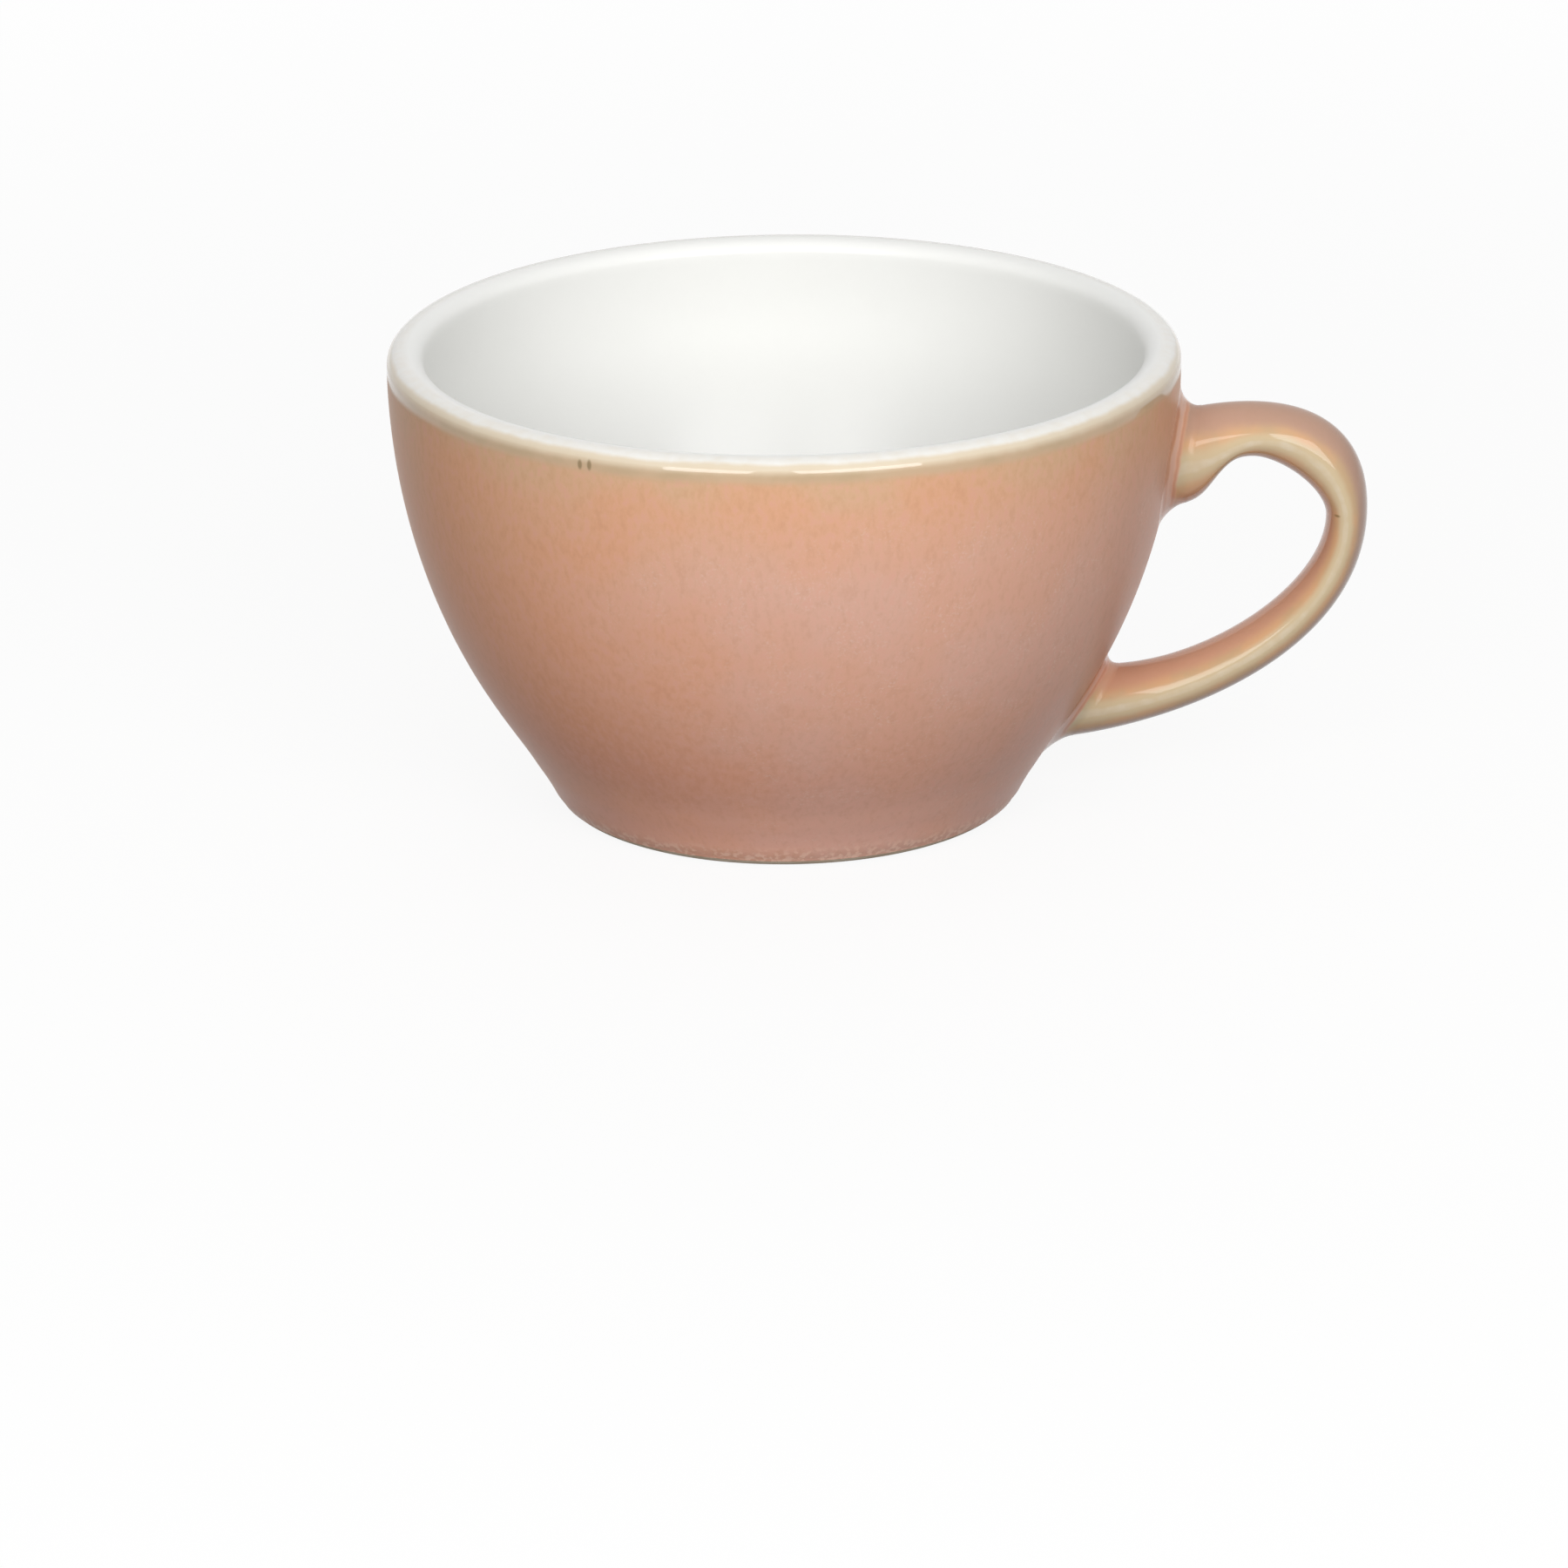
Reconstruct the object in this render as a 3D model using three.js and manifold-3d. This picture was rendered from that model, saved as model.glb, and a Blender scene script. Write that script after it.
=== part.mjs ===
// Cappuccino cup: a thick-walled stoneware bowl on a low foot ring, with an ear handle luted to its side.
// Millimetres, +Z up. The cup stands on z = 0 and its handle points along +X.

import * as THREE from 'three';
import { mergeVertices } from 'three/addons/utils/BufferGeometryUtils.js';
import Module from 'manifold-3d';

// Bowl, measured on the bare clay
const cupHeight = 60.1;
const rimDiameter = 100.2;
const rimWall = 3.9;
const lipRise = 1.5; // the rounded lip above the widest ring of the bowl
const bowlCurveDepth = 66.6; // vertical half axis of the ellipse that shapes the outside
const floorHeight = 8.2; // inside floor above the table
const insideFullness = 2.5; // superellipse power of the inside, where 2 is a plain ellipse

// Foot ring
const footDiameter = 57.6; // outside, where its flared wall would meet the table
const footHeight = 6.9;
const footFlare = 1.9; // how much the foot's wall spreads over its height
const coveSoftness = 2.2; // size of the soft hollow between foot and bowl
const footEdgeRadius = 2;
const footRingWidth = 5.2;
const footInnerEdgeRadius = 0.8;
const bareFootAngle = 30; // the rose glaze ends this far below the widest of the foot's rounded edge, in degrees
const recessDepth = 3;
const recessFillet = 1.8;

// Ear handle, measured on the bare clay
const earReach = 23.8; // from the rim's outside to the tip of the ear
const earTipDrop = 20.8; // the tip below the rim
const gripThickness = 4.5; // in the plane of the ear, at its tip
const gripWidth = 9.2;
const rootWidth = 10.4;
const rootBlend = 12; // length over which a root narrows to the grip
const innerTipDrop = 0.8; // the tip of the finger gap below the tip of the ear
const archDrop = 5.1; // the top of the finger gap below the top of the upper root
const archSetback = 14.2; // the top of the finger gap behind the tip of the ear
const upperRootDrop = 8.4; // the top of the upper root below the rim
const upperRootDepth = 11.7;
const lowerRootHeight = 8.5; // the bottom of the lower root above the table
const lowerRootDepth = 8.6;
const handleRoundness = 2.3; // superellipse power of the handle's section

// Directions of the ear's two edges where they leave the roots, in degrees above the horizontal
const shoulderAngle = 12.8;
const tailAngle = 7.1;
const beakAngle = 3.4;
const innerTailAngle = 1.3;

// Pull of the ear's curves, as shares of the run or drop between their ends
const shoulderPull = 0.64;
const tipPullAbove = 0.89;
const tipPullBelow = 0.59;
const tailPull = 0.42;
const beakPull = 0.61;
const archPullBehind = 0.56;
const archPullAhead = 0.36;
const innerTipPullAbove = 0.48;
const innerTipPullBelow = 0.49;
const innerTailPull = 0.45;

// Slip joints and glaze
const slipThickness = 1.5; // slip between the bowl and the end of the handle
const collarWidth = 2.6; // how far the slip collar spreads beyond the handle
const collarEdge = 0.5; // thickness of the collar's thin edge
const glazeThickness = 0.4;
const linerEdgeAngle = 20; // where the white liner ends on the outside of the lip, in degrees
const seatClearance = 0.2; // between the slip and the bowl
const collarClearance = 0.3; // between the collar's edge and the glaze around it

// Facets
const turnSegments = 48;
const bowlSteps = 10;
const lipSteps = 6;
const edgeSteps = 3;
const insideSteps = 11;
const upperEarSteps = 14;
const lowerEarSteps = 15;
const earSides = 14;
const collarSteps = 3;
const seatSteps = 3;

// Sizes that follow from the ones above
const rimRadius = rimDiameter / 2;
const rimHeight = cupHeight - lipRise;
const footRadius = footDiameter / 2;
const footInnerRadius = footRadius - footRingWidth;
const upperRootTop = cupHeight - upperRootDrop;
const lowerRootTop = lowerRootHeight + lowerRootDepth;
const tipRadius = rimRadius + earReach;
const tipHeight = cupHeight - earTipDrop;

const wasm = await Module();
wasm.setup();

// Outside of the bowl: an ellipse that runs softly into the flared wall of the foot.
function wallRadius(height) {
	const drop = (rimHeight - height) / bowlCurveDepth;
	const bowl = rimRadius * Math.sqrt(Math.max(0, 1 - drop * drop));
	const foot = footRadius + footFlare * Math.min(height / footHeight, 1);
	return foot + coveSoftness * Math.log(1 + Math.exp((bowl - foot) / coveSoftness));
}

function arc(centreX, centreY, radius, startAngle, endAngle, steps) {
	const points = [];
	for (let i = 0; i <= steps; i++) {
		const angle = THREE.MathUtils.degToRad(startAngle + (endAngle - startAngle) * i / steps);
		points.push(new THREE.Vector2(centreX + radius * Math.cos(angle), centreY + radius * Math.sin(angle)));
	}
	return points;
}

// The clay outline in stretches, from the middle of the underside round to the middle of the inside floor.
function recessOutline() {
	const flatRadius = footInnerRadius - recessFillet;
	return [
		new THREE.Vector2(0, recessDepth),
		...arc(flatRadius, recessDepth - recessFillet, recessFillet, 90, 0, edgeSteps),
	];
}

function footRingOutline() {
	const outerCentre = wallRadius(footEdgeRadius) - footEdgeRadius;
	const innerCentre = footInnerRadius + footInnerEdgeRadius;
	return [
		...arc(innerCentre, footInnerEdgeRadius, footInnerEdgeRadius, 180, 270, edgeSteps),
		...arc(outerCentre, footEdgeRadius, footEdgeRadius, -90, -bareFootAngle, edgeSteps - 1),
	];
}

function wallOutline() {
	const points = [];
	for (let i = 0; i < bowlSteps; i++) {
		const height = footEdgeRadius + (rimHeight - footEdgeRadius) * i / bowlSteps;
		points.push(new THREE.Vector2(wallRadius(height), height));
	}
	return points;
}

function lipPoint(angle) {
	const turn = THREE.MathUtils.degToRad(angle);
	const halfWall = rimWall / 2;
	return new THREE.Vector2(rimRadius - halfWall + halfWall * Math.cos(turn), rimHeight + lipRise * Math.sin(turn));
}

function lipOutline() {
	const points = [];
	for (let i = 0; i <= lipSteps; i++) {
		points.push(lipPoint(linerEdgeAngle + (180 - linerEdgeAngle) * i / lipSteps));
	}
	return points;
}

function insideOutline() {
	const points = [];
	for (let i = 1; i <= insideSteps; i++) {
		const angle = Math.PI / 2 * i / insideSteps;
		const radius = (rimRadius - rimWall) * Math.cos(angle) ** (2 / insideFullness);
		const depth = (rimHeight - floorHeight) * Math.sin(angle) ** (2 / insideFullness);
		points.push(new THREE.Vector2(i < insideSteps ? radius : 0, rimHeight - depth));
	}
	return points;
}

const recess = recessOutline();
const footRing = footRingOutline();
const outside = [...wallOutline(), lipPoint(0)];
const claySurface = [...recess, ...footRing, ...outside, ...lipOutline(), ...insideOutline()];

// The stretches that each glaze covers, as first and last point of the clay outline. The foot ring stays bare.
const baseGlazeEnd = recess.length - 1;
const outerGlazeStart = recess.length + footRing.length - 1;
const linerStart = recess.length + footRing.length + outside.length;
const linerEnd = claySurface.length - 1;

// The glaze lies over the clay, square to it at every point.
const glazeSurface = claySurface.map((point, i) => {
	const before = claySurface[Math.max(i - 1, 0)];
	const after = claySurface[Math.min(i + 1, linerEnd)];
	const along = after.clone().sub(before).normalize();
	const glazed = new THREE.Vector2(point.x + glazeThickness * along.y, point.y - glazeThickness * along.x);
	if (point.x === 0) glazed.set(0, point.y + (i === 0 ? -glazeThickness : glazeThickness));
	return glazed;
});

function turned(outline) {
	return new THREE.LatheGeometry(outline, turnSegments).rotateX(Math.PI / 2);
}

function coatOutline(first, last) {
	const face = glazeSurface.slice(first, last + 1);
	const back = claySurface.slice(first, last + 1).reverse();
	if (last === linerEnd) return [...back, ...face];
	if (first === 0) return [...face, ...back];
	return [...face, ...back, face[0]];
}

// Radius of the faceted wall at a height, on the straight between the two outline points around it.
function facetRadius(height) {
	const step = (rimHeight - footEdgeRadius) / bowlSteps;
	const below = THREE.MathUtils.clamp(Math.floor((height - footEdgeRadius) / step), 0, bowlSteps - 1);
	const low = outside[below];
	const high = outside[below + 1];
	return THREE.MathUtils.mapLinear(height, low.y, high.y, low.x, high.x);
}

// The two edges of the ear, each drawn from the upper root to the tip and on to the lower root.
function edgePoint(height) {
	return new THREE.Vector2(facetRadius(height) + slipThickness, height);
}

function pulled(point, angle, length) {
	const turn = THREE.MathUtils.degToRad(angle);
	return new THREE.Vector2(point.x + length * Math.cos(turn), point.y + length * Math.sin(turn));
}

function curveTo(path, startPull, endPull, end) {
	path.bezierCurveTo(startPull.x, startPull.y, endPull.x, endPull.y, end.x, end.y);
	return path;
}

function outerEdge() {
	const start = edgePoint(upperRootTop);
	const tip = new THREE.Vector2(tipRadius, tipHeight);
	const end = edgePoint(lowerRootHeight);
	const shoulder = pulled(start, shoulderAngle, shoulderPull * (tip.x - start.x));
	const aboveTip = pulled(tip, 90, tipPullAbove * (start.y - tip.y));
	const belowTip = pulled(tip, -90, tipPullBelow * (tip.y - end.y));
	const tail = pulled(end, tailAngle, tailPull * (tip.x - end.x));
	return [
		...curveTo(new THREE.Path([start]), shoulder, aboveTip, tip).getSpacedPoints(upperEarSteps),
		...curveTo(new THREE.Path([tip]), belowTip, tail, end).getSpacedPoints(lowerEarSteps).slice(1),
	];
}

function innerEdge() {
	const start = edgePoint(upperRootTop - upperRootDepth);
	const arch = new THREE.Vector2(tipRadius - archSetback, upperRootTop - archDrop);
	const tip = new THREE.Vector2(tipRadius - gripThickness, tipHeight - innerTipDrop);
	const end = edgePoint(lowerRootTop);
	const beak = pulled(start, beakAngle, beakPull * (arch.x - start.x));
	const behindArch = pulled(arch, 180, archPullBehind * (arch.x - start.x));
	const aheadOfArch = pulled(arch, 0, archPullAhead * (tip.x - arch.x));
	const aboveTip = pulled(tip, 90, innerTipPullAbove * (arch.y - tip.y));
	const belowTip = pulled(tip, -90, innerTipPullBelow * (tip.y - end.y));
	const tail = pulled(end, innerTailAngle, innerTailPull * (tip.x - end.x));
	const upper = curveTo(new THREE.Path([start]), beak, behindArch, arch);
	curveTo(upper, aheadOfArch, aboveTip, tip);
	return [
		...upper.getSpacedPoints(upperEarSteps),
		...curveTo(new THREE.Path([tip]), belowTip, tail, end).getSpacedPoints(lowerEarSteps).slice(1),
	];
}

const outer = outerEdge();
const inner = innerEdge();

// Corner shares of a superellipse: how far along the thickness and the width each side of the section lies.
const sectionSides = Array.from({ length: earSides }, (unused, j) => {
	const angle = 2 * Math.PI * j / earSides;
	const round = (share) => Math.sign(share) * Math.abs(share) ** (2 / handleRoundness);
	return { thick: round(Math.cos(angle)), wide: round(Math.sin(angle)) };
});

function earWidth(station) {
	const fromUpperRoot = outer[station].distanceTo(outer[0]);
	const fromLowerRoot = outer[station].distanceTo(outer[outer.length - 1]);
	const narrowing = THREE.MathUtils.smoothstep(Math.min(fromUpperRoot, fromLowerRoot), 0, rootBlend);
	return rootWidth + (gripWidth - rootWidth) * narrowing;
}

// A section of the ear between its two edges, grown on all sides by a coat.
function earRing(station, coat) {
	const middle = outer[station].clone().add(inner[station]).multiplyScalar(0.5);
	const half = outer[station].clone().sub(middle);
	half.setLength(half.length() + coat);
	const halfWidth = earWidth(station) / 2 + coat;
	return sectionSides.map(({ thick, wide }) =>
		new THREE.Vector3(middle.x + thick * half.x, wide * halfWidth, middle.y + thick * half.y));
}

function ringCentre(ring) {
	const sum = ring.reduce((total, point) => total.add(point), new THREE.Vector3());
	return sum.divideScalar(ring.length);
}

// Triangles between two rings; inward turns them round, on the same diagonals.
function band(corners, from, to, inward = false) {
	for (let j = 0; j < from.length; j++) {
		const k = (j + 1) % from.length;
		if (inward) corners.push(from[j], from[k], to[j], to[j], from[k], to[k]);
		else corners.push(from[j], to[j], from[k], to[j], to[k], from[k]);
	}
}

function fan(corners, ring, last) {
	const centre = ringCentre(ring);
	for (let j = 0; j < ring.length; j++) {
		const k = (j + 1) % ring.length;
		if (last) corners.push(centre, ring[k], ring[j]);
		else corners.push(centre, ring[j], ring[k]);
	}
}

function solidFrom(corners) {
	return new THREE.BufferGeometry().setFromPoints(corners);
}

function loft(rings) {
	const corners = [];
	fan(corners, rings[0], false);
	for (let i = 1; i < rings.length; i++) band(corners, rings[i - 1], rings[i]);
	fan(corners, rings[rings.length - 1], true);
	return solidFrom(corners);
}

// A coat round the ear: its face, its back on the clay, and the two narrow ends.
function coatRound(backRings, faceRings) {
	const corners = [];
	const last = backRings.length - 1;
	for (let i = 0; i < last; i++) {
		band(corners, faceRings[i], faceRings[i + 1]);
		band(corners, backRings[i], backRings[i + 1], true);
	}
	band(corners, backRings[0], faceRings[0]);
	band(corners, faceRings[last], backRings[last]);
	return solidFrom(corners);
}

// The outline of a root as seen along X, spread beyond the handle, laid on the bowl at some lift from it.
function rootRing(station, spread, share, lift) {
	const middle = (outer[station].y + inner[station].y) / 2;
	const halfDepth = outer[station].y - middle;
	const depth = halfDepth + Math.sign(halfDepth) * spread;
	const halfWidth = earWidth(station) / 2 + spread;
	return sectionSides.map(({ thick, wide }) => {
		const y = share * wide * halfWidth;
		const z = middle + share * thick * depth;
		return new THREE.Vector3(Math.sqrt((facetRadius(z) + lift) ** 2 - y * y), y, z);
	});
}

// A slip joint: a pad between bowl and handle whose hollow collar runs out on the bowl.
function slipJoint(station) {
	const rings = [];
	for (let i = 1; i <= seatSteps; i++) {
		rings.push(rootRing(station, collarWidth, i / seatSteps, seatClearance));
	}
	const handleFace = earRing(station, glazeThickness);
	for (let i = 0; i < collarSteps; i++) {
		const turn = Math.PI / 2 * i / collarSteps;
		const spread = glazeThickness + (collarWidth - glazeThickness) * (1 - Math.sin(turn));
		const climb = 1 - Math.cos(turn);
		const low = rootRing(station, spread, 1, seatClearance + collarEdge);
		rings.push(low.map((point, j) => {
			const rise = Math.max(handleFace[j].x - point.x, 0);
			return new THREE.Vector3(point.x + climb * rise, point.y, point.z);
		}));
	}
	rings.push(handleFace, earRing(station, 0));
	return station === 0 ? loft(rings) : loft(rings.reverse());
}

function rootCutter(station) {
	const spread = collarWidth + collarClearance;
	const reach = slipThickness + collarWidth;
	const rings = [rootRing(station, spread, 1, -reach), rootRing(station, spread, 1, reach)];
	return station === 0 ? loft(rings) : loft(rings.reverse());
}

function toManifold(geometry) {
	const plain = geometry.clone();
	plain.deleteAttribute('normal');
	plain.deleteAttribute('uv');
	const merged = mergeVertices(plain);
	const vertProperties = new Float32Array(merged.attributes.position.array);
	const triVerts = new Uint32Array(merged.index.array);
	return new wasm.Manifold(new wasm.Mesh({ numProp: 3, vertProperties, triVerts }));
}

function fromManifold(manifold) {
	const mesh = manifold.getMesh();
	const geometry = new THREE.BufferGeometry();
	geometry.setAttribute('position', new THREE.BufferAttribute(new Float32Array(mesh.vertProperties), 3));
	geometry.setIndex(new THREE.BufferAttribute(new Uint32Array(mesh.triVerts), 1));
	return geometry;
}

const firstStation = 0;
const lastStation = outer.length - 1;
const stations = outer.map((point, station) => station);

function outerGlaze() {
	const coat = toManifold(turned(coatOutline(outerGlazeStart, linerStart)));
	const upperCut = toManifold(rootCutter(firstStation));
	const lowerCut = toManifold(rootCutter(lastStation));
	return fromManifold(coat.subtract(upperCut).subtract(lowerCut));
}

function handle() {
	return loft(stations.map((station) => earRing(station, 0)));
}

function handleGlaze() {
	const backRings = stations.map((station) => earRing(station, 0));
	const faceRings = stations.map((station) => earRing(station, glazeThickness));
	return coatRound(backRings, faceRings);
}

const bareClay = { color: 0xd8cdbd, roughness: 0.85, metalness: 0 };
const slip = { color: 0xbd9484, roughness: 0.35, metalness: 0 };
const whiteGlaze = { color: 0xf2f0ea, roughness: 0.15, metalness: 0 };
const roseGlaze = { color: 0xcc9c82, roughness: 0.2, metalness: 0 };
const thinRoseGlaze = { color: 0xd2b48f, roughness: 0.2, metalness: 0 };

const cup = new THREE.Group();
cup.position.x = -earReach / 2;

function addPiece(name, geometry, look) {
	geometry.computeVertexNormals();
	const mesh = new THREE.Mesh(geometry, new THREE.MeshStandardMaterial(look));
	mesh.name = name;
	cup.add(mesh);
}

addPiece('cup_body', turned(claySurface), bareClay);
addPiece('handle', handle(), bareClay);
addPiece('upper_slip_joint', slipJoint(firstStation), slip);
addPiece('lower_slip_joint', slipJoint(lastStation), slip);
addPiece('liner_glaze', turned(coatOutline(linerStart, linerEnd)), whiteGlaze);
addPiece('outer_glaze', outerGlaze(), roseGlaze);
addPiece('handle_glaze', handleGlaze(), thinRoseGlaze);
addPiece('base_glaze', turned(coatOutline(0, baseGlazeEnd)), roseGlaze);

export default new THREE.Group().add(cup);
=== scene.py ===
import bmesh
import bpy
import math
import numpy as np
from mathutils import Matrix, Vector


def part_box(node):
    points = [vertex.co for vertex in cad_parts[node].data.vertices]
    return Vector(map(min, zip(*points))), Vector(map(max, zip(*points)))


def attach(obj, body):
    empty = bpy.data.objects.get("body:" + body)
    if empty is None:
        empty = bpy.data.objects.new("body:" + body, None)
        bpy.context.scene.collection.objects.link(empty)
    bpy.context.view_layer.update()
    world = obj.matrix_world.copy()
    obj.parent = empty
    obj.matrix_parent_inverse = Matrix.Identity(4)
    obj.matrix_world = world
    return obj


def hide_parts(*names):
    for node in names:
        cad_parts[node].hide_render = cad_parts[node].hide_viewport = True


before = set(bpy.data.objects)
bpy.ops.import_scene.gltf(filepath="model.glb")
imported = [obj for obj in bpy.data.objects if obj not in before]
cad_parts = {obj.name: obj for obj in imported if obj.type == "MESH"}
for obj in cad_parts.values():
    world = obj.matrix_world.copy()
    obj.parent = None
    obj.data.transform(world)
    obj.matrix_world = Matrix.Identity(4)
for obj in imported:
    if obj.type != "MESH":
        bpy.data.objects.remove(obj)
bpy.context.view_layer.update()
print("frame:", ", ".join(sorted(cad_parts)))

mm = 0.001
weldDistance = 0.0001 * mm
creaseAngle = 50                    # degrees, steeper edges stay crisp


# Small helpers for meshes

def addPiece(name, mesh, material, slotName, *nodes):
    mesh.shade_smooth()
    mesh.set_sharp_from_angle(angle=math.radians(creaseAngle))
    mesh.materials.append(material)
    piece = bpy.data.objects.new(name, mesh)
    bpy.context.scene.collection.objects.link(piece)
    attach(piece, "root")
    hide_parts(*nodes)
    print("piece:", name, len(mesh.polygons), "faces")


def spinMesh(name, outline, closed=False):
    # outline is (radius, height) round the cup's axis
    bm = bmesh.new()
    points = [bm.verts.new((axisX + r, 0, z)) for r, z in outline]
    edges = [bm.edges.new(pair) for pair in zip(points, points[1:])]
    if closed:
        edges.append(bm.edges.new((points[-1], points[0])))
    bmesh.ops.spin(bm, geom=points + edges, cent=(axisX, 0, 0), axis=(0, 0, 1),
                   angle=2 * math.pi, steps=cup["segments"], use_merge=True)
    bmesh.ops.remove_doubles(bm, verts=bm.verts, dist=weldDistance)
    bmesh.ops.recalc_face_normals(bm, faces=bm.faces)
    mesh = bpy.data.meshes.new(name)
    bm.to_mesh(mesh)
    bm.free()
    return mesh


def loftMesh(name, rings, ringClosed):
    # rings is an array of rings, points and x y z; ringClosed joins the last ring to the first
    count, sides = rings.shape[:2]
    faces = []
    for i in range(count if ringClosed else count - 1):
        here = i * sides
        there = (i + 1) % count * sides
        for j in range(sides):
            k = (j + 1) % sides
            faces.append((here + j, here + k, there + k, there + j))
    if not ringClosed:
        faces.append(tuple(reversed(range(sides))))
        faces.append(tuple(range((count - 1) * sides, count * sides)))
    mesh = bpy.data.meshes.new(name)
    mesh.from_pydata(rings.reshape(-1, 3).tolist(), [], faces)
    bm = bmesh.new()
    bm.from_mesh(mesh)
    bmesh.ops.recalc_face_normals(bm, faces=bm.faces)
    bm.to_mesh(mesh)
    bm.free()
    return mesh


def storeShare(mesh, name, values):
    shares = mesh.attributes.new(name, "FLOAT", "POINT")
    shares.data.foreach_set("value", np.asarray(values, np.float32).ravel())


def smoothStep(value, low, high):
    share = np.clip((value - low) / (high - low), 0, 1)
    return share * share * (3 - 2 * share)


def bezier(t, a, b, c, d):
    return (1 - t) ** 3 * a + 3 * t * (1 - t) ** 2 * b + 3 * t ** 2 * (1 - t) * c + t ** 3 * d


# Small helpers for nodes

def fill(tree, node, inputs):
    for name, value in inputs.items():
        if isinstance(value, bpy.types.NodeSocket):
            tree.links.new(value, node.inputs[name])
        else:
            node.inputs[name].default_value = value


def put(tree, kind, inputs=None, **settings):
    node = tree.nodes.new("ShaderNode" + kind)
    for name, value in settings.items():
        setattr(node, name, value)
    fill(tree, node, inputs or {})
    return node


def calc(tree, operation, *values):
    return put(tree, "Math", dict(enumerate(values)), operation=operation).outputs[0]


def vectorCalc(tree, operation, *values):
    outputs = put(tree, "VectorMath", dict(enumerate(values)), operation=operation).outputs
    return outputs["Value" if operation in ("LENGTH", "DOT_PRODUCT") else "Vector"]


def ease(tree, value, low, high):
    # 0 at low, 1 at high, soft at both ends
    limits = {"Value": value, "From Min": low, "From Max": high}
    return put(tree, "MapRange", limits, interpolation_type="SMOOTHSTEP").outputs[0]


def band(tree, value, start, full, fade, end):
    # rises from start to full, falls from fade to end
    return calc(tree, "MULTIPLY", ease(tree, value, start, full), ease(tree, value, end, fade))


def remap(tree, value, low, high, toLow, toHigh, **settings):
    limits = {"Value": value, "From Min": low, "From Max": high, "To Min": toLow, "To Max": toHigh}
    return put(tree, "MapRange", limits, **settings).outputs[0]


def sway(tree, value, amount):
    # a noise from 0 to 1, as minus amount to plus amount
    return calc(tree, "MULTIPLY_ADD", value, 2 * amount, -amount)


def blend(tree, share, first, second):
    # sockets 0, 6 and 7 are the factor and the two colours
    return put(tree, "Mix", {0: share, 6: first, 7: second}, data_type="RGBA").outputs[2]


def tint(tree, color, other, mask, share):
    return blend(tree, calc(tree, "MULTIPLY", mask, share), color, other)


def noise(tree, spot, scale, detail=2.0, roughness=0.5):
    inputs = {"Vector": spot, "Scale": scale, "Detail": detail, "Roughness": roughness}
    return put(tree, "TexNoise", inputs).outputs[0]


def newGroup(name, inputs, outputs):
    group = bpy.data.node_groups.new(name, "ShaderNodeTree")
    for label, kind in inputs.items():
        group.interface.new_socket(label, in_out="INPUT", socket_type="NodeSocket" + kind)
    for label, kind in outputs.items():
        group.interface.new_socket(label, in_out="OUTPUT", socket_type="NodeSocket" + kind)
    entry = group.nodes.new("NodeGroupInput")
    leave = group.nodes.new("NodeGroupOutput")
    return group, entry.outputs, leave.inputs


def place(tree, group, inputs):
    node = tree.nodes.new("ShaderNodeGroup")
    node.node_tree = group
    fill(tree, node, inputs)
    return node.outputs


def newMaterial(name):
    material = bpy.data.materials.new(name)
    material.use_nodes = True
    tree = material.node_tree
    return material, tree, tree.nodes["Principled BSDF"].inputs


def rgb(red, green, blue):
    # 0 to 255 as a screen shows it, to the linear colour that nodes take
    shares = [value / 255 for value in (red, green, blue)]
    linear = [s / 12.92 if s <= 0.04045 else ((s + 0.055) / 1.055) ** 2.4 for s in shares]
    return (*linear, 1.0)


# Cup: outline of the clay and the glaze on it

cup = {
    "lipRise": 1.5 * mm,            # rounded lip above the widest ring
    "rimWall": 3.9 * mm,
    "curveDepth": 66.6 * mm,        # half height of the ellipse that shapes the outside
    "floorHeight": 8.2 * mm,
    "insideFullness": 2.5,          # superellipse power of the inside
    "footDiameter": 57.6 * mm,
    "footHeight": 6.9 * mm,
    "footFlare": 1.9 * mm,
    "coveSoftness": 2.2 * mm,
    "footEdgeRadius": 2.0 * mm,
    "footRingWidth": 5.2 * mm,
    "footInnerEdgeRadius": 0.8 * mm,
    "recessDepth": 3.0 * mm,
    "recessFillet": 1.8 * mm,
    "bareFootAngle": 30,            # degrees round the foot's edge, down to where the rose coat ends
    "linerEdgeAngle": 20,           # degrees round the lip from its outside, where the white coat ends
    "coatTaper": 1.2 * mm,          # the rose coat thins to its lower edge over this height
    "coatEdgeShare": 0.3,           # of its thickness, left at that edge
    "coatBed": 0.02 * mm,           # between the clay and the back of a coat
    "segments": 192,                # round the axis; the steps are along the outline
    "filletSteps": 8,
    "glazedEdgeSteps": 5,
    "wallSteps": 71,
    "seamSteps": 4,
    "lipSteps": 28,
    "insideSteps": 48,
}

clayLow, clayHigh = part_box("cup_body")
axisX = (clayLow.x + clayHigh.x) / 2
rimRadius = (clayHigh.x - clayLow.x) / 2
rimHeight = clayHigh.z - cup["lipRise"]
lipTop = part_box("liner_glaze")[1].z
glaze = lipTop - clayHigh.z


def wallRadius(height):
    # an ellipse that runs softly into the flared wall of the foot
    drop = (rimHeight - height) / cup["curveDepth"]
    bowl = rimRadius * np.sqrt(np.maximum(0, 1 - drop * drop))
    foot = cup["footDiameter"] / 2 + cup["footFlare"] * np.minimum(height / cup["footHeight"], 1)
    softness = cup["coveSoftness"]
    return foot + softness * np.log1p(np.exp((bowl - foot) / softness))


def arc(centreR, centreZ, radius, start, end, steps):
    turn = np.radians(np.linspace(start, end, steps + 1))
    return np.column_stack([centreR + radius * np.cos(turn), centreZ + radius * np.sin(turn)])


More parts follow.
